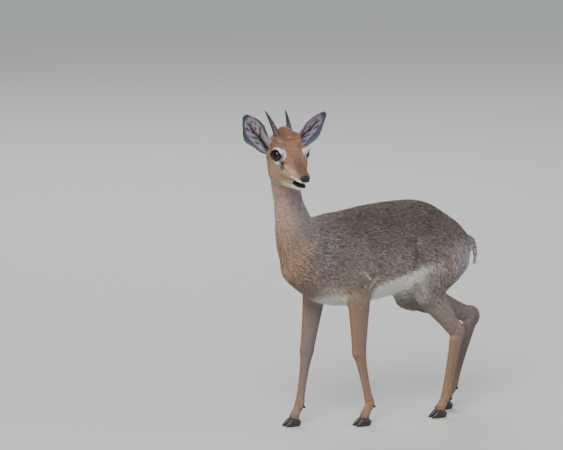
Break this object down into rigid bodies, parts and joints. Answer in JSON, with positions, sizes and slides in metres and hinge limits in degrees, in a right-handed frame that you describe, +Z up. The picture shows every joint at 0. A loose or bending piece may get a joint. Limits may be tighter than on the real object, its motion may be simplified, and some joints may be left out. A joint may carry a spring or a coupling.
{
  "type": "dik-dik",
  "caption": "Standing dik-dik buck, a very small antelope with short ringed horns and cupped ears, in mid-stride and looking out over its left side.",
  "frame": {"origin": "centre of the bounding box on the floor that the hooves stand on", "axes": "+Z up, the buck walks towards -X, its left side and its face are towards -Y"},
  "size_m": [0.4974, 0.1784, 0.5659],
  "materials": {
    "coat": "short grizzled grey-brown fur, tan on the face and legs, cream below",
    "eye": "wet, dark brown",
    "horn": "dark, ringed towards the base",
    "hoof": "worn black horn"
  },
  "bodies": {
    "root": {"torso": "coat", "neck": "coat", "head": "coat", "tail": "coat", "ear_left": "coat", "ear_right": "coat", "foreleg_left_upper": "coat", "foreleg_left_cannon": "coat", "foreleg_left_pastern": "coat", "foreleg_right_upper": "coat", "foreleg_right_cannon": "coat", "foreleg_right_pastern": "coat", "hindleg_left_thigh": "coat", "hindleg_left_shank": "coat", "hindleg_left_cannon": "coat", "hindleg_left_pastern": "coat", "hindleg_right_thigh": "coat", "hindleg_right_shank": "coat", "hindleg_right_cannon": "coat", "hindleg_right_pastern": "coat", "eye_left": "eye", "eye_right": "eye", "horn_left": "horn", "horn_right": "horn", "foreleg_left_claw_outer": "hoof", "foreleg_left_claw_inner": "hoof", "foreleg_right_claw_outer": "hoof", "foreleg_right_claw_inner": "hoof", "hindleg_left_claw_outer": "hoof", "hindleg_left_claw_inner": "hoof", "hindleg_right_claw_outer": "hoof", "hindleg_right_claw_inner": "hoof"}
  },
  "joints": []
}
